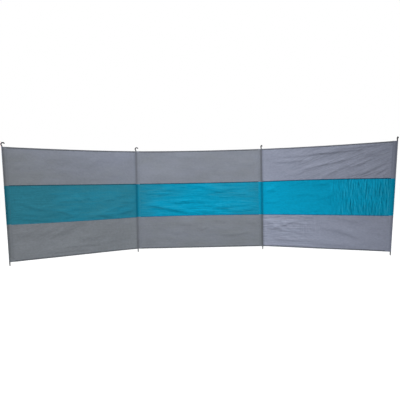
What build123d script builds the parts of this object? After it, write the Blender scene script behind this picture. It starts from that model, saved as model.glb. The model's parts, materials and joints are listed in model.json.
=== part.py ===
"""A beach windbreak: three bays of banded cloth, carried by four steel rods in sewn tunnels.

The frame's origin is the tip of the second rod, at the ground. +X runs along the middle bay
to the third rod, +Y is the side away from the sitters, and +Z is up. Lengths are in millimetres.
"""

import os
from math import cos, radians, sin, tan

from build123d import *

os.makedirs("parts", exist_ok=True)

# Cloth
bay_width = 1667  # from rod axis to rod axis along the top hem
top_band_height = 437
middle_band_height = 436
bottom_band_height = 427
cloth_thickness = 0.8
hem_height = 17
seam_height = 12
fold_round_share = 0.45  # of the hem's thickness, at its folded edge

# Tunnels
tunnel_width = 48  # from the rod's axis to the edge of the sewn plies
tunnel_root_radius = 2  # where the plies part to go round the rod
hinge_clearance = 0.3  # between an outer bay's edge and the tunnel that it turns round

# Rods
rod_diameter = 14
tip_diameter = 8
point_length = 16
foot_length = 45  # of rod below the cloth
neck_length = 5  # of straight rod above the cloth
eye_radius = 18  # to the middle of the bent rod
eye_end_chamfer = 1.5
eye_lead_angle = 40
eye_curl_angle = 205

# Stance, in degrees
left_bay_swing_angle = 35  # towards the front, from the line of the middle bay
right_bay_swing_angle = 28
pole_1_lean_angle = 2.0  # outward, in the plane of its bay
pole_4_lean_angle = 3.8
pole_1_eye_angle = 15  # about the rod, from facing the front
pole_2_eye_angle = 0
pole_3_eye_angle = 58
pole_4_eye_angle = 50

# Derived sizes
rod_radius = rod_diameter / 2
tip_radius = tip_diameter / 2
double_ply = 2 * cloth_thickness
tunnel_radius = rod_radius + cloth_thickness
lower_seam_level = foot_length + bottom_band_height
upper_seam_level = lower_seam_level + middle_band_height
cloth_top = upper_seam_level + top_band_height
half_seam = seam_height / 2
up = Vector(0, 0, 1)


def bay_plane(post_x, heading):
    """The plane of a bay: x along it from the rod that it hangs on, y up, z through the cloth."""
    along = Vector(cos(radians(heading)), sin(radians(heading)), 0)
    return Plane(origin=(post_x, 0, 0), x_dir=along, z_dir=along.cross(up))


def rod_run(height, lean):
    """How far along its bay the far rod's axis is at a height."""
    return bay_width - (cloth_top - height) * tan(radians(lean))


def rod_plane(bay, run, lean, tunnel_side):
    """The plane across a rod at its tip: z along the rod, x into its tunnel's sewn plies."""
    axis = bay.x_dir * sin(radians(lean)) + bay.y_dir * cos(radians(lean))
    across = bay.x_dir * cos(radians(lean)) - bay.y_dir * sin(radians(lean))
    return Plane(origin=bay.from_local_coords(Vector(run, 0, 0)), x_dir=across * tunnel_side, z_dir=axis)


def save(piece, name):
    """Label a finished piece and write it under its own name."""
    piece.part.label = name
    export_step(piece.part, f"parts/{name}.step")


def make_pole(name, across, eye_angle):
    """One bent rod: a pointed foot, a straight shaft and an open curled eye."""
    heading = Vector(cos(radians(eye_angle)), sin(radians(eye_angle)), 0)
    axis = across.z_dir
    sideways = (heading - axis * heading.dot(axis)).normalized()
    eye_plane = Plane(origin=across.origin, x_dir=sideways, z_dir=sideways.cross(axis))
    with BuildPart(across) as pole:
        Cone(tip_radius, rod_radius, point_length, align=(Align.CENTER, Align.CENTER, Align.MIN))
        with BuildLine(eye_plane) as route:
            shaft = Line((0, point_length), (0, cloth_top + neck_length))
            lead = JernArc(shaft @ 1, shaft % 1, eye_radius, eye_lead_angle)
            JernArc(lead @ 1, lead % 1, eye_radius, -eye_curl_angle)
        with BuildSketch(Plane(origin=route.line @ 0, z_dir=axis)):
            Circle(rod_radius)
        sweep(path=route.line)
        eye_end = pole.faces().filter_by(GeomType.PLANE).sort_by_distance(route.line @ 1)[0]
        chamfer(eye_end.edges(), length=eye_end_chamfer)
    save(pole, name)


def make_tunnel(name, across, low, high):
    """One colour's length of tunnel: cloth drawn round the rod and sewn together beside it."""
    with BuildPart() as tunnel:
        with BuildSketch(across) as section:
            Circle(tunnel_radius)
            with Locations((tunnel_width / 2, 0)):
                Rectangle(tunnel_width, double_ply)
            roots = section.vertices().sort_by(Axis.X)[:2]
            fillet(roots, radius=tunnel_root_radius)
            Circle(rod_radius, mode=Mode.SUBTRACT)
        extrude(amount=cloth_top + foot_length)
        split(bisect_by=Plane.XY.offset(low), keep=Keep.TOP)
        split(bisect_by=Plane.XY.offset(high), keep=Keep.BOTTOM)
    save(tunnel, name)


def make_strip(name, bay, start, lean, low, high, thickness, fold=None):
    """A flat strip of cloth across a bay, from its near edge to the far rod's tunnel."""
    inset = tunnel_width / cos(radians(lean))
    low_end = rod_run(low, lean) - inset
    high_end = rod_run(high, lean) - inset
    with BuildPart() as strip:
        with BuildSketch(bay):
            Polygon((start, low), (low_end, low), (high_end, high), (start, high), align=None)
        extrude(amount=thickness / 2, both=True)
        if fold is not None:
            folded = strip.edges().group_by(Axis.Z)[fold].sort_by(SortBy.LENGTH)[-2:]
            fillet(folded, radius=fold_round_share * thickness)
    save(strip, name)


def make_bay(name, bay, start, lean):
    """A bay's cloth: three bands, the two seams that join them, and a hem along each edge."""
    hem_top = cloth_top - hem_height
    hem_bottom = foot_length + hem_height
    cloth = (bay, start, lean)
    make_strip(f"{name}_bottom_hem", *cloth, foot_length, hem_bottom, double_ply, fold=0)
    make_strip(f"{name}_bottom_band", *cloth, hem_bottom, lower_seam_level - half_seam, cloth_thickness)
    make_strip(f"{name}_lower_seam", *cloth, lower_seam_level - half_seam, lower_seam_level + half_seam,
               double_ply)
    make_strip(f"{name}_middle_band", *cloth, lower_seam_level + half_seam, upper_seam_level - half_seam,
               cloth_thickness)
    make_strip(f"{name}_upper_seam", *cloth, upper_seam_level - half_seam, upper_seam_level + half_seam,
               double_ply)
    make_strip(f"{name}_top_band", *cloth, upper_seam_level + half_seam, hem_top, cloth_thickness)
    make_strip(f"{name}_top_hem", *cloth, hem_top, cloth_top, double_ply, fold=-1)


# Bays
hinged_edge = tunnel_radius + hinge_clearance
left_bay = bay_plane(0, 180 + left_bay_swing_angle)
middle_bay = bay_plane(0, 0)
right_bay = bay_plane(bay_width, -right_bay_swing_angle)
make_bay("left_bay", left_bay, hinged_edge, pole_1_lean_angle)
make_bay("middle_bay", middle_bay, tunnel_width, 0)
make_bay("right_bay", right_bay, hinged_edge, pole_4_lean_angle)

# Rods and their tunnels
pole_1_across = rod_plane(left_bay, rod_run(0, pole_1_lean_angle), pole_1_lean_angle, -1)
pole_2_across = rod_plane(middle_bay, 0, 0, 1)
pole_3_across = rod_plane(middle_bay, rod_run(0, 0), 0, -1)
pole_4_across = rod_plane(right_bay, rod_run(0, pole_4_lean_angle), pole_4_lean_angle, -1)
poles = (
    ("pole_1", pole_1_across, pole_1_eye_angle),
    ("pole_2", pole_2_across, pole_2_eye_angle),
    ("pole_3", pole_3_across, pole_3_eye_angle),
    ("pole_4", pole_4_across, pole_4_eye_angle),
)
for name, across, eye_angle in poles:
    make_pole(name, across, eye_angle)
    make_tunnel(f"{name}_bottom_sleeve", across, foot_length, lower_seam_level)
    make_tunnel(f"{name}_middle_sleeve", across, lower_seam_level, upper_seam_level)
    make_tunnel(f"{name}_top_sleeve", across, upper_seam_level, cloth_top)
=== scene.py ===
"""A beach windbreak dressed for a picture: creased cloth, sewn edges and worn rods.

Lengths are in metres. The bays' shares run from the left rod to the right one and from the bottom hem up.
"""

import json
import math

import bmesh
import bpy
import numpy as np
from mathutils import Matrix, Vector


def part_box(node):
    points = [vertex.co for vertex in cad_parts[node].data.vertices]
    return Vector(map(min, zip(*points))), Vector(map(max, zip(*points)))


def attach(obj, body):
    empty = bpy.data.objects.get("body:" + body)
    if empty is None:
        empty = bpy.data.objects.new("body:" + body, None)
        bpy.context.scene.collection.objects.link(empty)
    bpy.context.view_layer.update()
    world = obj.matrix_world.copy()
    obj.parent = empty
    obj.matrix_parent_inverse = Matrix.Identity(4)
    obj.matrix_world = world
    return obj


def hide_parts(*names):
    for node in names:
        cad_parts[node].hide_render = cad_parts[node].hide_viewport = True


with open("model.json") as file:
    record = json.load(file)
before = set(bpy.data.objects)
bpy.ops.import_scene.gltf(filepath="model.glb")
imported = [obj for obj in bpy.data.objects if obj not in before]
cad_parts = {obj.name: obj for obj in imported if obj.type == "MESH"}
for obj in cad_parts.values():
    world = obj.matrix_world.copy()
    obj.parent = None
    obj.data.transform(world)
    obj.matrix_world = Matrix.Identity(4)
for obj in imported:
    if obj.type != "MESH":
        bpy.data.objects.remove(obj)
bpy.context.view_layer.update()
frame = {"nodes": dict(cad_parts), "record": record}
up = Vector((0, 0, 1))

# Sizes that the frame gives
strip_names = (
    "bottom_hem",
    "bottom_band",
    "lower_seam",
    "middle_band",
    "upper_seam",
    "top_band",
    "top_hem",
)
levels = {}
for strip in strip_names:
    low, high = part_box(f"middle_bay_{strip}")
    levels[strip] = (low.z, high.z)
cloth_bottom = levels["bottom_hem"][0]
cloth_top = levels["top_hem"][1]
cloth_height = cloth_top - cloth_bottom
seam_levels = [sum(levels[seam]) / 2 for seam in ("lower_seam", "upper_seam")]
blue_rise_shares = [(level - cloth_bottom) / cloth_height for level in seam_levels]
sleeve_low, sleeve_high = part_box("pole_2_middle_sleeve")
tunnel_width = sleeve_high.x
tunnel_radius = -sleeve_low.x
rod_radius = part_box("pole_2")[1].y
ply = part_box("middle_bay_middle_band")[1].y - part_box("middle_bay_middle_band")[0].y
double_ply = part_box("middle_bay_upper_seam")[1].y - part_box("middle_bay_upper_seam")[0].y
hinge_clearance = 0.0003  # between an outer bay's edge and the tunnel that it turns round

# Cloth meshes
grid_step = 0.007
tuck = 0.004  # how far a band's edge runs on inside a hem, a seam or a tunnel
rounding_steps = 4  # round a folded edge
sharp_angle = 50
edge_fade = 0.07  # from a tunnel's edge to where folds have their full height
belly = 0.008
top_hem_sag = 0.007
seam_sags = {  # in the middle of a bay, at the lower and at the upper seam
    "left_bay": (0.006, -0.002),
    "middle_bay": (-0.006, 0.001),
    "right_bay": (-0.002, -0.010),
}

# Dyes, painted shade and the rods' painted shadows in the cloth
dye_fade_and_shade_shares = {  # how far a dye has dulled, partly painted shade, at stations from rod to rod, and how much more near the ground
    "left_bay": {"grey": (1.30, 0.92, 0.72, 1.1), "blue": (1.18, 0.88, 0.78, -0.4)},
    "middle_bay": {"grey": (0.71, 0.74, 0.77, 0.3), "blue": (0.68, 0.14, -0.08, 0.25, 0.38, -0.8)},
    "right_bay": {"grey": (-0.45, -0.22, 0.0, -0.1), "blue": (-0.17, -0.15, 0.08, 0.2)},
}
painted_shade_shares = {  # painted shade at the left rod, at the right rod, and how much more near the ground
    "left_bay": (0.115, 0.01, -0.08),
    "middle_bay": (0.10, 0.01, 0.0),
    "right_bay": (-0.08, 0.28, -0.2),
}
dye_fullness_shares = {"grey": 0.0, "blue": 0.35}  # of doubled cloth beside a rod
rod_shade_reach = 0.021
rod_shade_shares = {
    "grey": {1: 0.30, 2: 0.29, 3: 0.40, 4: 0.29},
    "blue": {1: 0.42, 2: 0.47, 3: 0.42, 4: 0.34},
}
lower_seam_tone_share = 2.3

# Tunnels
sleeve_ply = 0.0007
root_radius = 0.002  # where the plies part to go round the rod
tail_steps = 8
root_steps = 4
ring_steps = 24
tail_painted_shade_shares = {  # painted light and shade of the two plies, at the ground and at the top
    1: (0.98, 0.96),
    2: (1.0, 1.0),
    3: (0.98, 0.98),
    4: (1.12, 0.86),
}
tail_fullness_shares = {
    "grey": {1: 0.0, 2: 0.0, 3: 0.0, 4: 0.0},
    "blue": {1: 0.0, 2: 0.1, 3: 0.4, 4: 0.3},
}
sewn_edge_shares = {1: 0.03, 2: 0.03, 3: 0.03, 4: 0.08}
sewn_edge_reach = 0.010

# Stitches
stitch_pitch = 0.006
stitch_length = 0.0046
stitch_width = 0.0011
stitch_height = 0.0005
hem_stitch_inset = 0.0035  # from the turned edge
seam_stitch_inset = 0.0025
tunnel_stitch_insets = (0.0035, 0.010)

# Corner patches
patch_width = 0.052
patch_height = 0.040
patch_lift = 0.003  # above the bottom hem's edge
patch_start = 0.008  # from the rod's axis
patch_thickness = 0.0006
patch_stitch_inset = 0.004
patch_points = 9  # along each side of its mesh
patch_stitch_points = 12  # along each row of its stitches
patch_tone_share = 0.96


class Rod:
    """The straight line of a rod, up from the mount at its foot."""

    def __init__(self, number):
        mount_name = f"pole_{number}_foot"
        mount = next(each for each in frame["record"]["mounts"] if each["name"] == mount_name)
        self.foot = Vector(mount["pos_m"])
        self.axis = -Vector(mount["axis"])


rods = {number: Rod(number) for number in (1, 2, 3, 4)}


class Bay:
    """One bay in its own axes: x along the cloth from left to right, y to the back, z up."""

    def __init__(self, name, left_rod, right_rod, hinge_rod, gaps):
        along = (rods[right_rod].foot - rods[left_rod].foot).normalized()
        self.name = name
        self.place = Matrix((along, up.cross(along), up)).transposed().to_4x4()
        self.place.translation = rods[hinge_rod].foot
        self.rods = (left_rod, right_rod)
        self.lines = [self.rod_line(rods[number]) for number in self.rods]
        self.gaps = gaps
        self.fade_and_shade_stations = dye_fade_and_shade_shares[name]
        self.painted_shade = painted_shade_shares[name]
        self.folds = []

    def rod_line(self, rod):
        """Where a rod's axis starts along the bay, how fast it leans along it, and how upright it is."""
        inward = self.place.inverted()
        start = inward @ rod.foot
        axis = inward.to_3x3() @ rod.axis
        return start.x, axis.x / axis.z, axis.z

    def rod_axes(self, z):
        """Both rods' axes along the bay, at a height."""
        (left, left_lean, _), (right, right_lean, _) = self.lines
        return left + z * left_lean, right + z * right_lean

    def edges(self, z):
        """Both edges of the cloth between the tunnels, at a height."""
        left, right = self.rod_axes(z)
        return left + self.gaps[0] / self.lines[0][2], right - self.gaps[1] / self.lines[1][2]

    def shares(self, x, z):
        """How far across the bay and up the cloth a point is, as shares."""
        left, right = self.rod_axes(z)
        return (x - left) / (right - left), (z - cloth_bottom) / cloth_height

    def relief(self, x, z):
        """How far the cloth stands to the back of the bay's plane."""
        across, rise = self.shares(x, z)
        left, right = self.edges(z)
        fade = smooth_step((x - left) / edge_fade) * smooth_step((right - x) / edge_fade)
        u = across * bay_width
        v = rise * cloth_height
        depth = belly * 4 * across * (1 - across)
        for fold in self.folds:
            depth = depth - fold.height(u, v)
        for wrinkle in wrinkles:
            depth = depth + wrinkle.height(u, v, self.name)
        depth = depth + pucker_height(u, z, self.name)
        return depth * fade

    def dullness(self, x, z, dye):
        """How far a dye has dulled, partly painted shade, less where the cloth is doubled beside a rod."""
        across, rise = self.shares(x, z)
        *stations, ground = self.fade_and_shade_stations[dye]
        left, right = self.rod_axes(z)
        doubled = beside_rod(x - left) + beside_rod(right - x)
        station_fade_and_shade = np.interp(across, np.linspace(0, 1, len(stations)), stations)
        return station_fade_and_shade + ground * (0.5 - rise) - dye_fullness_shares[dye] * doubled

    def lit_share(self, x, z):
        """How much the painted shade leaves of the cloth's colour: evenly from one rod to the other, and
        towards the ground.
        """
        across, rise = self.shares(x, z)
        left, right, ground = self.painted_shade
        return 1 - left - (right - left) * across - ground * (0.5 - rise)

    def crinkles(self, x, z):
        """How strongly the cloth is crinkled along it, up it and aslant."""
        across, rise = self.shares(x, z)
        return {key: weigh(across, rise) for key, weigh in crinkle_weights[self.name].items()}

    def sag(self, x, z):
        """How far a point hangs below its level: the top hem dips between the rods, the seams a little."""
        across, rise = self.shares(x, z)
        hem_dip = top_hem_sag * np.clip(rise, 0, 1) ** 3
        seam_dip = np.interp(rise, (0, *blue_rise_shares, 1), (0, *seam_sags[self.name], 0))
        return (hem_dip + seam_dip) * 4 * across * (1 - across)

    def surface(self, x, z):
        """Points on the middle of the cloth, in the bay's axes."""
        return np.stack((x, self.relief(x, z), z - self.sag(x, z)), axis=-1)


def beside_rod(distance):
    """1 at a rod's axis, fading out over the cloth beside it."""
    return np.exp(-((distance / rod_shade_reach) ** 2))


def smooth_step(t):
    """A soft step from 0 to 1."""
    t = np.clip(t, 0, 1)
    return t * t * (3 - 2 * t)


bay_width = (rods[3].foot - rods[2].foot).length
hinge_gap = tunnel_radius + hinge_clearance
bays = {
    "left_bay": Bay("left_bay", 1, 2, 2, (tunnel_width, hinge_gap)),
    "middle_bay": Bay("middle_bay", 2, 3, 2, (tunnel_width, tunnel_width)),
    "right_bay": Bay("right_bay", 3, 4, 3, (hinge_gap, tunnel_width)),
}
bay_seeds = {"left_bay": 1, "middle_bay": 2, "right_bay": 3}


# Folds
class Fold:
    """A crease across the cloth: a ridge to the front, steep on its right-hand side as it runs."""

    def __init__(self, start, end, width, rise, bow=0.0):
        self.start = np.array(start) * (bay_width, cloth_height)
        self.end = np.array(end) * (bay_width, cloth_height)
        self.width = width
        self.rise = rise
        self.bow = bow
        self.gentle = width * gentle_side_times

    def height(self, u, v):
        """How far the crease lifts the cloth, at points along and up the bay."""
        run = self.end - self.start
        length = np.hypot(*run)
        ahead = run / length
        du, dv = u - self.start[0], v - self.start[1]
        along = (du * ahead[0] + dv * ahead[1]) / length
        inside = np.clip(along, 0, 1)
        off = dv * ahead[0] - du * ahead[1] - self.bow * length * 4 * inside * (1 - inside)
        taper = smooth_step(along / fold_taper_share) * smooth_step((1 - along) / fold_taper_share)
        spread = np.where(off < 0, self.width, self.gentle)
        return self.rise * taper * np.exp(-((off / spread) ** 2))


class Wrinkle:
    """Random gentle unevenness of one grain, the same on every run."""

    def __init__(self, cell, rise, seed):
        self.cell = cell
        self.rise = rise
        self.seed = seed

    def height(self, u, v, bay_name):
        """How far the cloth is lifted or sunk, at points along and up a bay."""
        rng = np.random.default_rng([self.seed, bay_seeds[bay_name]])
        return self.rise * lattice(u / self.cell[0], v / self.cell[1], rng)


def lattice(a, b, rng, size=64):
    """Smooth random values from -1 to 1 over a plane of unit cells."""
    knots = rng.uniform(-1, 1, (size, size))
    i, j = np.floor(a).astype(int), np.floor(b).astype(int)
    s, t = smooth_step(a - i), smooth_step(b - j)
    near = knots[i % size, j % size] * (1 - s) + knots[(i + 1) % size, j % size] * s
    far = knots[i % size, (j + 1) % size] * (1 - s) + knots[(i + 1) % size, (j + 1) % size] * s
    return near * (1 - t) + far * t


def pucker_height(u, z, bay_name):
    """Short ripples that the stitching gathers beside each seam and hem."""
    rng = np.random.default_rng([pucker_seed, bay_seeds[bay_name]])
    depth = np.zeros(np.broadcast(u, z).shape)
    for level in (cloth_bottom, *seam_levels, cloth_top):
        ripple = lattice(u / pucker_length, np.full_like(u, level / cloth_height), rng)
        depth = depth + pucker_rise * ripple * np.exp(-np.abs(z - level) / pucker_reach)
    return depth


fold_taper_share = 0.3
gentle_side_times = 3.0  # the steep side's width
pucker_seed = 41
pucker_length = 0.03
pucker_reach = 0.035
pucker_rise = 0.0016
wrinkles = (
    Wrinkle((0.42, 0.30), 0.0070, 11),
    Wrinkle((0.17, 0.11), 0.0032, 12),
    Wrinkle((0.07, 0.045), 0.0009, 13),
)

fine, soft, broad = 0.012, 0.020, 0.034  # widths of a crease's steep side
faint, plain, strong = 0.0034, 0.0070, 0.0125  # heights of creases

bays["left_bay"].folds += [
    Fold((0.63, 0.38), (1.00, 0.49), soft, 0.6 * plain),
    Fold((0.53, 0.35), (0.84, 0.39), soft, 0.6 * plain),
    Fold((0.67, 0.345), (1.00, 0.41), soft, 0.6 * plain),
    Fold((0.03, 0.415), (0.28, 0.395), fine, faint),
    Fold((0.05, 0.38), (0.36, 0.33), fine, faint),
    Fold((0.10, 0.51), (0.30, 0.44), fine, faint, bow=-0.06),
    Fold((0.46, 0.55), (0.56, 0.50), fine, faint),
    Fold((0.33, 0.44), (0.47, 0.38), fine, faint),
    Fold((0.26, 0.165), (0.54, 0.315), broad, 0.3 * plain),
    Fold((0.05, 0.195), (0.27, 0.32), broad, 0.5 * plain),
    Fold((0.12, 0.17), (0.38, 0.31), soft, 0.8 * faint),
    Fold((0.39, 0.095), (0.70, 0.083), fine, faint),
    Fold((0.20, 0.06), (0.62, 0.05), soft, faint),
]
bays["middle_bay"].folds += [
    Fold((0.47, 0.65), (0.75, 0.54), soft, plain),
    Fold((0.63, 0.415), (0.98, 0.45), soft, plain, bow=-0.02),
    Fold((0.71, 0.355), (0.99, 0.41), soft, plain, bow=-0.03),
    Fold((0.07, 0.455), (0.44, 0.355), soft, 1.7 * plain),
    Fold((0.36, 0.357), (0.67, 0.378), soft, plain, bow=-0.02),
    Fold((0.16, 0.55), (0.27, 0.56), fine, plain),
    Fold((0.78, 0.54), (0.90, 0.54), fine, faint),
    Fold((0.66, 0.125), (0.93, 0.165), soft, plain, bow=-0.03),
    Fold((0.33, 0.055), (0.55, 0.063), soft, faint),
    Fold((0.49, 0.17), (0.58, 0.215), fine, faint),
]
bays["right_bay"].folds += [
    Fold((0.06, 0.86), (0.43, 0.873), fine, 0.7 * plain, bow=-0.02),
    Fold((0.08, 0.908), (0.62, 0.947), fine, 0.7 * plain, bow=-0.02),
    Fold((0.26, 0.75), (0.76, 0.87), fine, 0.8 * plain, bow=0.01),
    Fold((0.46, 0.685), (0.86, 0.90), fine, 0.75 * plain, bow=-0.01),
    Fold((0.74, 0.69), (0.97, 0.83), fine, plain),
    Fold((0.85, 0.685), (0.99, 0.80), fine, plain),
    Fold((0.91, 0.68), (0.99, 0.77), fine, plain),
    Fold((0.43, 0.96), (0.98, 0.985), fine, 0.7 * plain, bow=-0.01),
    Fold((0.38, 0.92), (0.82, 0.948), fine, plain),
    Fold((0.01, 0.55), (0.19, 0.64), fine, faint),
    Fold((0.01, 0.455), (0.15, 0.453), fine, faint),
    Fold((0.867, 0.325), (0.876, 0.655), fine, strong),
    Fold((0.01, 0.18), (0.38, 0.142), soft, plain, bow=0.03),
    Fold((0.01, 0.24), (0.21, 0.275), soft, plain),
    Fold((0.01, 0.088), (0.88, 0.028), soft, plain),
    Fold((0.51, 0.205), (0.80, 0.10), soft, plain, bow=0.03),
    Fold((0.15, 0.21), (0.27, 0.26), fine, plain),
]


def scatter(bay_name, seed, count, across, rise, tilt, length, width, height):
    """Small random creases over part of a bay, between two tilts, lengths and heights."""
    rng = np.random.default_rng(seed)
    for _ in range(count):
        middle = np.array((rng.uniform(*across), rng.uniform(*rise)))
        turn = math.radians(rng.uniform(*tilt))
        reach = rng.uniform(*length) / 2
        half = np.array((math.cos(turn) * reach / bay_width, math.sin(turn) * reach / cloth_height))
        bow = rng.uniform(-crease_bow_share, crease_bow_share)
        bays[bay_name].folds.append(Fold(middle - half, middle + half, width, rng.uniform(*height), bow))


crease_bow_share = 0.06  # of a crease's length
small_creases = {  # seed, count, part across, part up, tilts, lengths, width and heights
    "left_bay": (
        (21, 18, (0.08, 0.95), (0.35, 0.62), (-14, 14), (0.15, 0.50), fine, (0.3 * faint, faint)),
        (22, 14, (0.08, 0.92), (0.04, 0.30), (0, 35), (0.10, 0.40), soft, (0.2 * faint, 0.6 * faint)),
        (23, 8, (0.08, 0.92), (0.72, 0.96), (-8, 8), (0.15, 0.50), soft, (0.1 * faint, 0.3 * faint)),
    ),
    "middle_bay": (
        (24, 26, (0.06, 0.94), (0.35, 0.65), (-10, 10), (0.12, 0.45), fine, (0.4 * faint, 1.3 * faint)),
        (25, 12, (0.08, 0.92), (0.04, 0.30), (-8, 12), (0.12, 0.45), soft, (0.3 * faint, faint)),
        (26, 8, (0.08, 0.92), (0.72, 0.96), (-8, 8), (0.15, 0.50), soft, (0.2 * faint, 0.6 * faint)),
    ),
    "right_bay": (
        (27, 22, (0.55, 0.96), (0.40, 0.60), (80, 104), (0.20, 0.46), fine, (0.4 * plain, plain)),
        (28, 12, (0.03, 0.55), (0.36, 0.64), (-12, 20), (0.10, 0.35), fine, (0.3 * faint, faint)),
        (29, 18, (0.03, 0.42), (0.18, 0.31), (-20, 20), (0.08, 0.26), fine, (0.5 * faint, 1.3 * faint)),
        (30, 9, (0.33, 0.45), (0.18, 0.27), (80, 100), (0.08, 0.18), fine, (0.3 * faint, 0.7 * faint)),
        (31, 26, (0.30, 0.96), (0.70, 0.97), (10, 34), (0.15, 0.50), fine, (0.4 * faint, 1.3 * faint)),
        (32, 10, (0.45, 0.90), (0.05, 0.30), (-20, 8), (0.12, 0.40), soft, (0.3 * faint, faint)),
    ),
}
for bay_name, creases in small_creases.items():
    for crease in creases:
        scatter(bay_name, *crease)


# Fine crinkles, too small for the meshes, as weights from 0 to 1
far_low, far_high = -1, 2  # shares beyond every edge of the cloth


def between(value, low, high, soft_edge=0.04):
    """1 between two shares, fading out over a soft edge."""
    return smooth_step((value - low) / soft_edge + 0.5) * smooth_step((high - value) / soft_edge + 0.5)


def in_blue(rise):
    """1 in the middle band."""
    return between(rise, *blue_rise_shares)


def in_bottom(rise):
    """1 in the bottom band."""
    return between(rise, far_low, blue_rise_shares[0])


def in_top(rise):
    """1 in the top band."""
    return between(rise, blue_rise_shares[1], far_high)


crinkle_weights = {
    "left_bay": {
        "streaks": lambda s, h: 0.30 * in_blue(h) + 0.12 * in_bottom(h) + 0.08 * in_top(h),
        "ripples": lambda s, h: 0.05 * in_bottom(h) * between(s, 0.45, far_high, 0.2),
        "slants": lambda s, h: 0.18 * in_bottom(h) * between(s, far_low, 0.55, 0.2),
    },
    "middle_bay": {
        "streaks": lambda s, h: 0.68 * in_blue(h) + 0.25 * in_bottom(h) + 0.08 * in_top(h),
        "ripples": lambda s, h: 0.06 * in_blue(h),
        "slants": lambda s, h: 0.05 * in_bottom(h),
    },
    "right_bay": {
        "streaks": lambda s, h: (
            (0.15 * in_blue(h) + 0.80 * in_bottom(h)) * between(s, far_low, 0.42, 0.2) + 0.10 * in_top(h)
        ),
        "ripples": lambda s, h: (
            in_blue(h) * between(s, 0.60, far_high, 0.25)
            + 0.15 * between(h, 0.15, 0.28) * between(s, 0.3, 0.5)
        ),
        "slants": lambda s, h: (
            0.75 * in_top(h) * between(s, 0.25, far_high, 0.5)
            + 0.08 * in_bottom(h) * between(s, 0.4, far_high)
        ),
    },
}


# Materials
class Nodes:
    """A material's node tree, with short calls to add nodes and links."""

    def __init__(self, name):
        self.material = bpy.data.materials.new(name)
        self.material.use_nodes = True
        self.tree = self.material.node_tree
        self.shader = self.tree.nodes["Principled BSDF"]

    def add(self, kind, **settings):
        """A new node of a kind."""
        node = self.tree.nodes.new(kind)
        for key, value in settings.items():
            setattr(node, key, value)
        return node

    def link(self, output, socket):
        """A link from one node to the next."""
        self.tree.links.new(output, socket)

    def object_point(self):
        """Where a point is in the axes of its own piece."""
        return self.add("ShaderNodeTexCoord").outputs["Object"]

    def noise(self, point, scale, detail=3.0, roughness=0.5):
        """Cloudy values from 0 to 1."""
        node = self.add("ShaderNodeTexNoise")
        self.link(point, node.inputs["Vector"])
        node.inputs["Scale"].default_value = scale
        node.inputs["Detail"].default_value = detail
        node.inputs["Roughness"].default_value = roughness
        return node.outputs["Fac"]

    def stretched(self, point, scale, turn=0, shift=0):
        """A point moved up and to the right, then turned in the cloth's plane and scaled along its axes."""
        node = self.add("ShaderNodeMapping", vector_type="TEXTURE")
        node.inputs["Scale"].default_value = [1 / each for each in scale]
        node.inputs["Rotation"].default_value[1] = math.radians(-turn)
        node.inputs["Location"].default_value = (-shift, 0, -shift)
        self.link(point, node.inputs["Vector"])
        return node.outputs["Vector"]

    def threads(self, point, direction, pitch):
        """Even parallel threads."""
        node = self.add("ShaderNodeTexWave", bands_direction=direction)
        node.inputs["Scale"].default_value = 2 * math.pi / (wave_turns * pitch)
        self.link(point, node.inputs["Vector"])
        return node.outputs["Fac"]

    def math(self, operation, first, second):
        """A sum on two values or sockets."""
        node = self.add("ShaderNodeMath", operation=operation)
        for socket, value in zip(node.inputs, (first, second)):
            if isinstance(value, (int, float)):
                socket.default_value = value
            else:
                self.link(value, socket)
        return node.outputs["Value"]

    def spread(self, value, low, high):
        """A value from 0 to 1 spread over another range."""
        node = self.add("ShaderNodeMapRange")
        self.link(value, node.inputs["Value"])
        node.inputs["To Min"].default_value = low
        node.inputs["To Max"].default_value = high
        return node.outputs["Result"]

    def mix(self, factor, first, second):
        """One colour turning into another."""
        node = self.add("ShaderNodeMix", data_type="RGBA")
        self.link(factor, node.inputs["Factor"])
        for socket, value in zip((node.inputs["A"], node.inputs["B"]), (first, second)):
            if isinstance(value, tuple):
                socket.default_value = (*value, 1.0)
            else:
                self.link(value, socket)
        return node.outputs["Result"]

    def bump(self, height, distance, strength, normal=None):
        """A surface roughened by a height."""
        node = self.add("ShaderNodeBump")
        self.link(height, node.inputs["Height"])
        node.inputs["Distance"].default_value = distance
        node.inputs["Strength"].default_value = strength
        if normal is not None:
            self.link(normal, node.inputs["Normal"])
        return node.outputs["Normal"]


wave_turns = 20  # of the wave pattern, in 2 pi at a scale of 1
thread_pitch = 0.0011
thread_depth = 0.00012
weave_strength = 0.5
fade_grain = (2.6, 2.6, 7.0)  # cells a metre along, through and up the cloth, as in the grains below
fade_spread = 0.35
slub_grain = (14.0, 14.0, 260.0)
slub_spread = 0.10
cloth_roughness = (0.48, 0.66)
sheen_roughness = 0.4
crumple_grain = (1.0, 1.0, 1.6)
crumple_scale = 30.0
crumple_weight = 0.12
crinkle_depth = 0.012
# painted light and shade on crumples and crinkles: its strength, the greying of lit sides, and the offset
# that sets which way they seem lit
painted_light_strength = 2.6
painted_highlight_greying = 3.0
painted_light_offset = 0.009
crinkle_grains = {  # and their tilt
    "streaks": ((2.6, 1.0, 20.0), 0),
    "ripples": ((36.0, 1.0, 7.0), -5),
    "slants": ((3.4, 1.0, 32.0), 22),
}
twist_scale = 900.0
twist_strength = 0.4
thread_roughness = (0.45, 0.7)
pit_scale = 260.0
pit_depth = 0.00012
pit_strength = 0.3
scuff_grain = (90.0, 90.0, 22.0)
scuff_start, scuff_full = 0.66, 0.74  # from coated to bare
coat_roughness = (0.40, 0.62)
coat_specular = 0.2
rub_height = 0.03  # of a rod's foot, rubbed by sand


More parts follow.
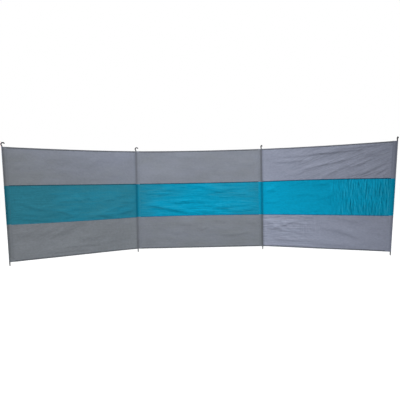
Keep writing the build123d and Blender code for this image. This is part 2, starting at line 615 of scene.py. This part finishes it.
def crinkle(nodes, point, key, scale, turn):
    """Long low ridges where the cloth is weighted for them: their height, and painted light and shade on
    their sides, as if lit from one side.
    """
    here, beside = (
        nodes.noise(nodes.stretched(point, scale, turn, shift), 1.0, detail=2.5, roughness=0.6)
        for shift in (0, painted_light_offset)
    )
    weight = nodes.add("ShaderNodeAttribute", attribute_name=key).outputs["Fac"]
    height = nodes.math("MULTIPLY", nodes.math("SUBTRACT", here, 0.5), weight)
    return height, nodes.math("MULTIPLY", nodes.math("SUBTRACT", beside, here), weight)


def cloth_material(name, fresh, dulled, specular, sheen):
    """Closely woven polyester: crossed threads, slubs, dye dulled by the sun and by painted shade, painted
    light on its crinkles, and a slight sheen.
    """
    nodes = Nodes(name)
    point = nodes.object_point()
    fades = nodes.noise(nodes.stretched(point, fade_grain), 1.0, detail=4.0)
    slubs = nodes.noise(nodes.stretched(point, slub_grain), 1.0, detail=2.0)
    fading = nodes.spread(fades, -fade_spread, fade_spread)
    fleck = nodes.math("ADD", fading, nodes.spread(slubs, -slub_spread, slub_spread))
    fading_and_shade = nodes.add("ShaderNodeAttribute", attribute_name="dullness").outputs["Fac"]
    crumple = nodes.noise(nodes.stretched(point, crumple_grain), crumple_scale, detail=3.0)
    relief = nodes.math("MULTIPLY", nodes.math("SUBTRACT", crumple, 0.5), crumple_weight)
    # painted light and shade: lighter on the crumples' crests and darker in their dips, the crinkles' sides
    # lighter facing one way and darker facing the other
    painted_light = relief
    for key, (scale, turn) in crinkle_grains.items():
        height, side = crinkle(nodes, point, key, scale, turn)
        relief = nodes.math("ADD", relief, height)
        painted_light = nodes.math("ADD", painted_light, side)
    # lit crinkle sides grey towards the dulled dye, a painted highlight
    dulling_and_shade = nodes.math("ADD", nodes.math("ADD", fading_and_shade, fleck), nodes.math("MULTIPLY", painted_light, painted_highlight_greying))
    dye = nodes.mix(dulling_and_shade, fresh, dulled)
    shade = nodes.add("ShaderNodeAttribute", attribute_name="shade").outputs["Fac"]
    tone = nodes.math("MULTIPLY", shade, nodes.math("ADD", nodes.math("MULTIPLY", painted_light, painted_light_strength), 1.0))
    dark = nodes.add("ShaderNodeVectorMath", operation="SCALE")
    nodes.link(dye, dark.inputs[0])
    nodes.link(tone, dark.inputs["Scale"])
    nodes.link(dark.outputs["Vector"], nodes.shader.inputs["Base Color"])
    weave = nodes.math(
        "MULTIPLY", nodes.threads(point, "X", thread_pitch), nodes.threads(point, "Z", thread_pitch)
    )
    crumpled = nodes.bump(relief, crinkle_depth, 1.0)
    nodes.link(nodes.bump(weave, thread_depth, weave_strength, crumpled), nodes.shader.inputs["Normal"])
    nodes.link(nodes.spread(slubs, *cloth_roughness), nodes.shader.inputs["Roughness"])
    nodes.shader.inputs["Sheen Weight"].default_value = sheen
    nodes.shader.inputs["Sheen Roughness"].default_value = sheen_roughness
    nodes.shader.inputs["Specular IOR Level"].default_value = specular
    return nodes.material


def thread_material():
    """Twisted sewing thread."""
    nodes = Nodes("sewing_thread")
    point = nodes.object_point()
    twist = nodes.noise(point, twist_scale, detail=1.0)
    dye = nodes.mix(twist, (0.040, 0.075, 0.11), (0.10, 0.13, 0.17))
    nodes.link(dye, nodes.shader.inputs["Base Color"])
    nodes.link(nodes.spread(twist, *thread_roughness), nodes.shader.inputs["Roughness"])
    nodes.link(nodes.bump(twist, thread_depth, twist_strength), nodes.shader.inputs["Normal"])
    return nodes.material


def rod_material():
    """A dark coating on steel: slightly pitted, scuffed to the metal in flecks, rubbed grey at the foot."""
    nodes = Nodes("coated_rod")
    point = nodes.object_point()
    grain = nodes.noise(point, pit_scale, detail=4.0)
    scuffs = nodes.noise(nodes.stretched(point, scuff_grain), 1.0, detail=5.0, roughness=0.65)
    bare = nodes.add("ShaderNodeMapRange", interpolation_type="SMOOTHSTEP")
    nodes.link(scuffs, bare.inputs["Value"])
    bare.inputs["From Min"].default_value = scuff_start
    bare.inputs["From Max"].default_value = scuff_full
    coat = nodes.mix(grain, (0.006, 0.006, 0.007), (0.018, 0.019, 0.021))
    height = nodes.add("ShaderNodeSeparateXYZ")
    nodes.link(point, height.inputs["Vector"])
    rubbed = nodes.add("ShaderNodeMapRange", interpolation_type="SMOOTHSTEP")
    ragged = nodes.math("ADD", height.outputs["Z"], nodes.spread(scuffs, -rub_height, rub_height))
    nodes.link(ragged, rubbed.inputs["Value"])
    rubbed.inputs["From Min"].default_value = rub_height
    rubbed.inputs["From Max"].default_value = 2 * rub_height
    foot = nodes.mix(grain, (0.035, 0.035, 0.037), (0.085, 0.085, 0.088))
    coat = nodes.mix(rubbed.outputs["Result"], foot, coat)
    worn_coat = nodes.mix(bare.outputs["Result"], coat, (0.30, 0.30, 0.31))
    nodes.link(worn_coat, nodes.shader.inputs["Base Color"])
    nodes.link(bare.outputs["Result"], nodes.shader.inputs["Metallic"])
    nodes.link(nodes.spread(grain, *coat_roughness), nodes.shader.inputs["Roughness"])
    nodes.shader.inputs["Specular IOR Level"].default_value = coat_specular
    nodes.link(nodes.bump(grain, pit_depth, pit_strength), nodes.shader.inputs["Normal"])
    return nodes.material


grey_shine = {"specular": 0.12, "sheen": 0.03}
blue_shine = {"specular": 0.04, "sheen": 0.0}
grey_cloth = cloth_material("grey_cloth", (0.262, 0.283, 0.358), (0.200, 0.216, 0.236), **grey_shine)
blue_cloth = cloth_material("blue_cloth", (0.0008, 0.307, 0.500), (0.026, 0.190, 0.258), **blue_shine)
# the hems: the grey cloth darkened, painted shade of their doubled plies
edge_cloth = cloth_material("edge_cloth", (0.130, 0.142, 0.170), (0.120, 0.130, 0.145), **grey_shine)
seam_cloth = cloth_material("seam_cloth", (0.0015, 0.074, 0.142), (0.014, 0.082, 0.116), **blue_shine)
thread = thread_material()
coating = rod_material()


# Meshes
def quads(index):
    """Faces over a grid of point numbers."""
    corners = (index[:-1, :-1], index[:-1, 1:], index[1:, 1:], index[1:, :-1])
    return np.stack([corner.ravel() for corner in corners], axis=1)


def shell(name, front, back, looks, material, place, body):
    """A thin closed piece between two grids of points, with its looks kept for the material."""
    rows, columns = front.shape[:2]
    count = rows * columns
    index = np.arange(count).reshape(rows, columns)
    rim = np.concatenate((index[0, :-1], index[:-1, -1], index[-1, :0:-1], index[:0:-1, 0]))
    ahead = np.roll(rim, -1)
    sides = np.stack((ahead, rim, rim + count, ahead + count), axis=1)
    faces = np.concatenate((quads(index), quads(index + count)[:, ::-1], sides))
    points = np.concatenate((front.reshape(-1, 3), back.reshape(-1, 3)))
    tiled = {key: np.tile(np.ravel(values), 2) for key, values in looks.items()}
    return new_piece(name, points, faces, tiled, material, place, body)


def new_piece(name, points, faces, looks, material, place, body):
    """A piece from points and faces, smooth but for its sharp edges, riding on a body."""
    mesh = bpy.data.meshes.new(name)
    mesh.from_pydata(points.tolist(), [], faces.tolist())
    for key, values in looks.items():
        mesh.attributes.new(key, "FLOAT", "POINT").data.foreach_set("value", values.astype(np.float32))
    turn = bmesh.new()
    turn.from_mesh(mesh)
    bmesh.ops.recalc_face_normals(turn, faces=turn.faces)
    turn.to_mesh(mesh)
    turn.free()
    mesh.polygons.foreach_set("use_smooth", np.ones(len(mesh.polygons), bool))
    mesh.set_sharp_from_angle(angle=math.radians(sharp_angle))
    mesh.materials.append(material)
    piece = bpy.data.objects.new(name, mesh)
    bpy.context.scene.collection.objects.link(piece)
    piece.matrix_world = place
    bpy.context.view_layer.update()
    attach(piece, body)
    return piece


def strip_rows(low, high, thickness, rounded):
    """Heights across a strip, and half its thickness at each, with folded edges rounded."""
    half = thickness / 2
    if not rounded:
        heights = np.linspace(low, high, max(2, math.ceil((high - low) / grid_step) + 1))
        return heights, np.full_like(heights, half)
    turn = np.linspace(0, math.pi / 2, rounding_steps + 1)[1:]
    inset = half * (1 - np.cos(turn))
    middle = np.linspace(low + half, high - half, max(2, math.ceil((high - low) / grid_step)))[1:-1]
    heights = np.concatenate((low + inset, middle, (high - inset)[::-1]))
    halves = np.concatenate((half * np.sin(turn), np.full_like(middle, half), half * np.sin(turn)[::-1]))
    return heights, halves


def strip_grid(bay, heights, overlap):
    """Points across a bay at some heights, with its ends run on into the tunnels."""
    z = heights[:, None]
    left, right = bay.edges(z)
    reach = [overlap if gap == tunnel_width else 0 for gap in bay.gaps]
    columns = math.ceil(bay_width / grid_step) + 1
    x = left - reach[0] + np.linspace(0, 1, columns)[None, :] * (right - left + sum(reach))
    return x, np.broadcast_to(z, x.shape)


def make_strip(bay, strip, material, slot, dye, rounded, shade=1.0):
    """One strip of a bay's cloth, in the place of its solid."""
    low, high = levels[strip]
    thickness = double_ply if rounded else ply
    if not rounded:
        low, high = low - tuck, high + tuck
    heights, halves = strip_rows(low, high, thickness, rounded)
    x, z = strip_grid(bay, heights, tuck)
    middle = bay.surface(x, z)
    half = np.broadcast_to(halves[:, None], x.shape)[..., None] * np.array((0, 1, 0))
    looks = {
        "shade": shade * edge_shade(bay, x, z, dye),
        "dullness": bay.dullness(x, z, dye),
        **bay.crinkles(x, z),
    }
    name = f"{bay.name}_{strip}"
    piece = shell(f"{name}_cloth", middle - half, middle + half, looks, material, bay.place, bay.name)
    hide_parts(name)
    return piece


def rod_shade(number, dye, distance):
    """Painted shadow of a dark rod, showing through the thin cloth in front of it."""
    return 1 - rod_shade_shares[dye][number] * beside_rod(distance)


def edge_shade(bay, x, z, dye):
    """Painted shade over a bay's cloth, and the painted shadows of its two rods."""
    left, right = bay.rod_axes(z)
    left_rod, right_rod = bay.rods
    return bay.lit_share(x, z) * rod_shade(left_rod, dye, x - left) * rod_shade(right_rod, dye, right - x)


strip_looks = {
    "bottom_hem": (edge_cloth, "grey_cloth", "grey", True),
    "bottom_band": (grey_cloth, "grey_cloth", "grey", False),
    "lower_seam": (seam_cloth, "dark_seam", "blue", True, lower_seam_tone_share),
    "middle_band": (blue_cloth, "blue_cloth", "blue", False),
    "upper_seam": (seam_cloth, "dark_seam", "blue", True),
    "top_band": (grey_cloth, "grey_cloth", "grey", False),
    "top_hem": (edge_cloth, "grey_cloth", "grey", True),
}
strip_pieces = {}
for bay in bays.values():
    for strip in strip_names:
        strip_pieces[bay.name, strip] = make_strip(bay, strip, *strip_looks[strip])


# Tunnels
sleeve_levels = {
    "bottom_sleeve": (cloth_bottom, seam_levels[0]),
    "middle_sleeve": tuple(seam_levels),
    "top_sleeve": (seam_levels[1], cloth_top),
}


def tunnel_route():
    """The line that the cloth takes round a rod, seen from above, from one ply's edge to the other's."""
    ring = (rod_radius + tunnel_radius) / 2
    face = double_ply / 4
    root_x = math.sqrt((ring + root_radius) ** 2 - (face + root_radius) ** 2)
    root_turn = math.atan2(face + root_radius, root_x)
    tail = [(x, -face) for x in np.linspace(tunnel_width, root_x, tail_steps)]
    root = [
        (root_x - root_radius * math.sin(turn), -face - root_radius + root_radius * math.cos(turn))
        for turn in np.linspace(0, math.pi / 2 - root_turn, root_steps)[1:]
    ]
    turns = np.linspace(root_turn, math.pi, ring_steps // 2 + 1)[1:]
    half_ring = [(ring * math.cos(turn), -ring * math.sin(turn)) for turn in turns]
    front_half = np.array(tail + root + half_ring)
    back_half = front_half[-2::-1] * (1, -1)
    return np.concatenate((front_half, back_half))


class Tunnel:
    """The tunnel on one rod, in the axes of the bay that its plies are sewn to."""

    def __init__(self, number, bay_name, side):
        self.number = number
        self.bay = bays[bay_name]
        inward = self.bay.place.inverted()
        self.foot = np.array(inward @ rods[number].foot)
        self.axis = np.array(inward.to_3x3() @ rods[number].axis)
        self.across = side * np.array((self.axis[2], 0, -self.axis[0]))

    def points(self, out, back, z):
        """Points beside the rod: so far out along the plies, so far to the back, and at a height."""
        flat = out[..., None] * self.across + back[..., None] * np.array((0, 1, 0))
        climb = (z - flat[..., 2]) / self.axis[2]
        return self.foot + flat + climb[..., None] * self.axis


tunnels = [
    Tunnel(1, "left_bay", 1),
    Tunnel(2, "middle_bay", 1),
    Tunnel(3, "middle_bay", -1),
    Tunnel(4, "right_bay", -1),
]


def sleeve_shade(tunnel, middle, out, dye):
    """The darkening of a tunnel: painted shade of its two plies, the painted shadow of the rod inside, the
    sewn edge and the bay's painted shade.
    """
    edge = 1 - sewn_edge_shares[tunnel.number] * np.exp(-(((out - tunnel_width) / sewn_edge_reach) ** 2))
    low_shade, high_shade = tail_painted_shade_shares[tunnel.number]
    rise = (middle[..., 2] - cloth_bottom) / cloth_height
    plies = (low_shade + (high_shade - low_shade) * rise) * rod_shade(tunnel.number, dye, out) * edge
    return plies * tunnel.bay.lit_share(middle[..., 0], middle[..., 2])


def make_sleeve(tunnel, sleeve, material, slot, dye):
    """One colour's length of a tunnel: a single cloth led round the rod."""
    route = tunnel_route()
    ahead = np.gradient(route, axis=0)
    ahead /= np.linalg.norm(ahead, axis=1)[:, None]
    outward = np.stack((-ahead[:, 1], ahead[:, 0]), axis=1)
    low, high = sleeve_levels[sleeve]
    heights = np.linspace(low, high, math.ceil((high - low) / grid_step) + 1)[:, None]
    sides = []
    for offset in (-sleeve_ply / 2, sleeve_ply / 2):
        line = route + outward * offset
        out = np.broadcast_to(line[:, 0], (len(heights), len(line)))
        back = np.broadcast_to(line[:, 1], out.shape)
        sides.append(tunnel.points(out, back, np.broadcast_to(heights, out.shape)))
    bay = tunnel.bay
    middle = (sides[0] + sides[1]) / 2
    dullness = bay.dullness(middle[..., 0], middle[..., 2], dye)
    looks = {
        "shade": sleeve_shade(tunnel, middle, route[:, 0], dye),
        "dullness": dullness - tail_fullness_shares[dye][tunnel.number],
    }
    name = f"pole_{tunnel.number}_{sleeve}"
    piece = shell(f"{name}_cloth", sides[0], sides[1], looks, material, bay.place, bay.name)
    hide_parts(name)


sleeve_looks = {
    "bottom_sleeve": (grey_cloth, "grey_cloth", "grey"),
    "middle_sleeve": (blue_cloth, "blue_cloth", "blue"),
    "top_sleeve": (grey_cloth, "grey_cloth", "grey"),
}
for tunnel in tunnels:
    for sleeve, looks in sleeve_looks.items():
        make_sleeve(tunnel, sleeve, *looks)


# Stitching
class Stitching:
    """All the stitches on one body, gathered into one piece in the axes of its bay."""

    def __init__(self, bay):
        self.bay = bay
        self.points = []

    def row(self, line, outward):
        """Stitches along a line of points, on the side of the cloth that faces outward."""
        gaps = np.linalg.norm(np.diff(line, axis=0), axis=1)
        run = np.concatenate(([0], np.cumsum(gaps)))
        stations = np.arange(stitch_pitch / 2, run[-1], stitch_pitch)
        middle = np.stack([np.interp(stations, run, line[:, k]) for k in range(3)], axis=1)
        ahead = np.gradient(middle, axis=0)
        ahead /= np.linalg.norm(ahead, axis=1)[:, None]
        outward = np.broadcast_to(outward, middle.shape)
        sideways = np.cross(outward, ahead)
        self.points.append(
            np.stack(
                (
                    middle - ahead * stitch_length / 2,
                    middle + ahead * stitch_length / 2,
                    middle - sideways * stitch_width / 2,
                    middle + sideways * stitch_width / 2,
                    middle - outward * stitch_height / 2,
                    middle + outward * stitch_height,
                ),
                axis=1,
            )
        )

    def finish(self):
        """The piece of all the stitches, each pointed at both ends."""
        points = np.concatenate(self.points)
        pattern = np.array([(tip, a, b) for tip in (0, 1) for a, b in ((2, 5), (5, 3), (3, 4), (4, 2))])
        starts = np.arange(len(points)) * points.shape[1]
        faces = (starts[:, None, None] + pattern).reshape(-1, 3)
        flat = points.reshape(-1, 3)
        name = f"{self.bay.name}_stitching"
        piece = new_piece(name, flat, faces, {}, thread, self.bay.place, self.bay.name)
        return piece


def strip_line(bay, z, half, side):
    """A line across a bay on one face of the cloth."""
    left, right = bay.edges(z)
    x = np.linspace(left, right, math.ceil(bay_width / grid_step))
    line = bay.surface(x, np.full_like(x, z))
    line[:, 1] += side * half
    return line


stitching = {name: Stitching(bay) for name, bay in bays.items()}
stitch_levels = [levels["bottom_hem"][1] - hem_stitch_inset, levels["top_hem"][0] + hem_stitch_inset]
for seam in ("lower_seam", "upper_seam"):
    stitch_levels += [levels[seam][0] + seam_stitch_inset, levels[seam][1] - seam_stitch_inset]
for name, bay in bays.items():
    for level in stitch_levels:
        for side in (-1, 1):
            stitching[name].row(strip_line(bay, level, double_ply / 2, side), np.array((0, side, 0)))
for tunnel in tunnels:
    for inset in tunnel_stitch_insets:
        for side in (-1, 1):
            heights = np.linspace(cloth_bottom, cloth_top, math.ceil(cloth_height / grid_step))
            out = np.full_like(heights, tunnel_width - inset)
            back = np.full_like(heights, side * (double_ply / 4 + sleeve_ply / 2))
            stitching[tunnel.bay.name].row(tunnel.points(out, back, heights), np.array((0, side, 0)))


# Corner patches at the foot of the end tunnels
def make_patch(tunnel):
    """A small square of cloth that closes the foot of an end tunnel, sewn down with a crossed box."""
    steps = np.linspace(0, 1, patch_points)
    grid = (patch_points, patch_points)
    out = np.broadcast_to(patch_start + patch_width * steps[None, :], grid)
    z = np.broadcast_to(cloth_bottom + patch_lift + patch_height * steps[:, None], grid)
    face = -double_ply / 2
    sides = [tunnel.points(out, np.full_like(out, face - lift), z) for lift in (patch_thickness, 0)]
    name = f"pole_{tunnel.number}_corner_patch"
    bay = tunnel.bay
    # the patch's own tone, with the bay's painted shade
    shade = patch_tone_share * bay.lit_share(sides[1][..., 0], z)
    looks = {"shade": shade, "dullness": bay.dullness(sides[1][..., 0], z, "grey")}
    piece = shell(name, sides[0], sides[1], looks, grey_cloth, bay.place, bay.name)
    inset = np.array((patch_stitch_inset / patch_width, patch_stitch_inset / patch_height))
    corners = [np.array(corner) * (1 - 2 * inset) + inset for corner in ((0, 0), (1, 0), (1, 1), (0, 1))]
    for first, last in ((0, 1), (1, 2), (2, 3), (3, 0), (0, 2), (1, 3)):
        start, end = corners[first], corners[last]
        spots = start + np.linspace(0, 1, patch_stitch_points)[:, None] * (end - start)
        line = tunnel.points(
            patch_start + patch_width * spots[:, 0],
            np.full(len(spots), face - patch_thickness),
            cloth_bottom + patch_lift + patch_height * spots[:, 1],
        )
        stitching[bay.name].row(line, np.array((0, -1, 0)))


for tunnel in (tunnels[0], tunnels[-1]):
    make_patch(tunnel)
stitch_pieces = {name: sewn.finish() for name, sewn in stitching.items()}

# Each band's widths at its edges, with the seams and hems on it
band_trims = {
    "bottom_band": ("bottom_hem", "lower_seam"),
    "middle_band": (),
    "top_band": ("upper_seam", "top_hem"),
}
for (bay_name, strip), piece in strip_pieces.items():
    if strip not in band_trims:
        continue
    bay = bays[bay_name]
    low, high = levels[strip]
    widths = [right - left for left, right in (bay.edges(low), bay.edges(high))]
    trims = [strip_pieces[bay_name, trim] for trim in band_trims[strip]]
    if strip == "middle_band":
        trims.append(stitch_pieces[bay_name])

# Rods
for number in rods:
    node = frame["nodes"][f"pole_{number}"]
    node.data.materials.clear()
    node.data.materials.append(coating)


# Floor, light and camera
floor_reach = 150.0
floor_glow = 0.92
floor_tone = 0.30
floor_bounce = 0.60
sky_strength = 0.22


def seen_directly(nodes):
    """1 for rays from the camera and for those that gloss or glass send on to the background."""
    path = nodes.add("ShaderNodeLightPath")
    seen = nodes.math("MAXIMUM", path.outputs["Is Camera Ray"], path.outputs["Is Glossy Ray"])
    return nodes.math("MAXIMUM", seen, path.outputs["Is Transmission Ray"])


def make_floor():
    """A white floor that keeps a soft shadow."""
    corners = [(-floor_reach, -floor_reach, 0), (floor_reach, -floor_reach, 0)]
    corners += [(floor_reach, floor_reach, 0), (-floor_reach, floor_reach, 0)]
    mesh = bpy.data.meshes.new("floor")
    mesh.from_pydata(corners, [], [(0, 1, 2, 3)])
    floor = bpy.data.objects.new("floor", mesh)
    bpy.context.scene.collection.objects.link(floor)
    nodes = Nodes("white_floor")
    nodes.tree.nodes.remove(nodes.shader)
    bounce = nodes.add("ShaderNodeBsdfDiffuse")
    bounce.inputs["Color"].default_value = (floor_bounce, floor_bounce, floor_bounce, 1)
    glow = nodes.add("ShaderNodeEmission")
    glow.inputs["Strength"].default_value = floor_glow
    tone = nodes.add("ShaderNodeBsdfDiffuse")
    tone.inputs["Color"].default_value = (floor_tone, floor_tone, floor_tone, 1)
    lit = nodes.add("ShaderNodeAddShader")
    nodes.link(glow.outputs["Emission"], lit.inputs[0])
    nodes.link(tone.outputs["BSDF"], lit.inputs[1])
    choice = nodes.add("ShaderNodeMixShader")
    nodes.link(seen_directly(nodes), choice.inputs["Fac"])
    nodes.link(bounce.outputs["BSDF"], choice.inputs[1])
    nodes.link(lit.outputs["Shader"], choice.inputs[2])
    nodes.link(choice.outputs["Shader"], nodes.tree.nodes["Material Output"].inputs["Surface"])
    mesh.materials.append(nodes.material)


class WorldNodes(Nodes):
    """The world's node tree, with the same short calls."""

    def __init__(self, name):
        self.world = bpy.data.worlds.new(name)
        self.world.use_nodes = True
        self.tree = self.world.node_tree


def make_sky():
    """Even white light from all round, seen as a white background."""
    nodes = WorldNodes("studio")
    background = nodes.tree.nodes["Background"]
    background.inputs["Color"].default_value = (1, 1, 1, 1)
    nodes.link(nodes.spread(seen_directly(nodes), sky_strength, 1.0), background.inputs["Strength"])
    bpy.context.scene.world = nodes.world


def aim(thing, place, target):
    """Stand a lamp somewhere and point it at something."""
    thing.location = place
    thing.rotation_euler = (Vector(target) - Vector(place)).to_track_quat("-Z", "Y").to_euler()
    bpy.context.scene.collection.objects.link(thing)


def make_lamp(name, place, target, size, power, colour):
    """A soft square lamp."""
    light = bpy.data.lights.new(name, "AREA")
    light.size = size
    light.energy = power
    light.color = colour
    aim(bpy.data.objects.new(name, light), place, target)


make_floor()
make_sky()
white, cool, warm = (1.0, 1.0, 1.0), (1.0, 1.0, 1.04), (1.0, 1.0, 0.96)
make_lamp("key", (0.6, -4.6, 8.0), (0.8, 0, 0.7), size=1.2, power=510, colour=white)
make_lamp("left_side", (-2.8, -2.8, 4.0), (1.4, 0, 0.7), size=1.0, power=100, colour=cool)
make_lamp("right_side", (6.4, -2.8, 3.4), (0.2, -0.2, 0.7), size=1.0, power=75, colour=warm)
make_lamp("behind", (0.9, 5.6, 5.2), (0.8, 0, 0.7), size=2.4, power=330, colour=white)

picture_pixels = 400
focal_pixels = 453.0
sensor_width_mm = 36.0
camera_place = Vector((0.781, -6.039, 0.843))
camera_yaw, camera_pitch, camera_roll = math.radians(-0.549), math.radians(1.542), math.radians(-1.138)


def make_camera():
    """The camera that the photograph's corners of the cloth agree with."""
    lens = bpy.data.cameras.new("camera")
    lens.sensor_width = sensor_width_mm
    lens.lens = focal_pixels / picture_pixels * sensor_width_mm
    camera = bpy.data.objects.new("camera", lens)
    bpy.context.scene.collection.objects.link(camera)
    level_turn = Matrix.Rotation(camera_yaw, 3, "Z") @ Matrix.Rotation(math.pi / 2 - camera_pitch, 3, "X")
    turn = level_turn @ Matrix.Rotation(camera_roll, 3, "Z")
    camera.matrix_world = Matrix.Translation(camera_place) @ turn.to_4x4()
    bpy.context.scene.camera = camera


make_camera()
bpy.context.scene.view_settings.view_transform = "Standard"
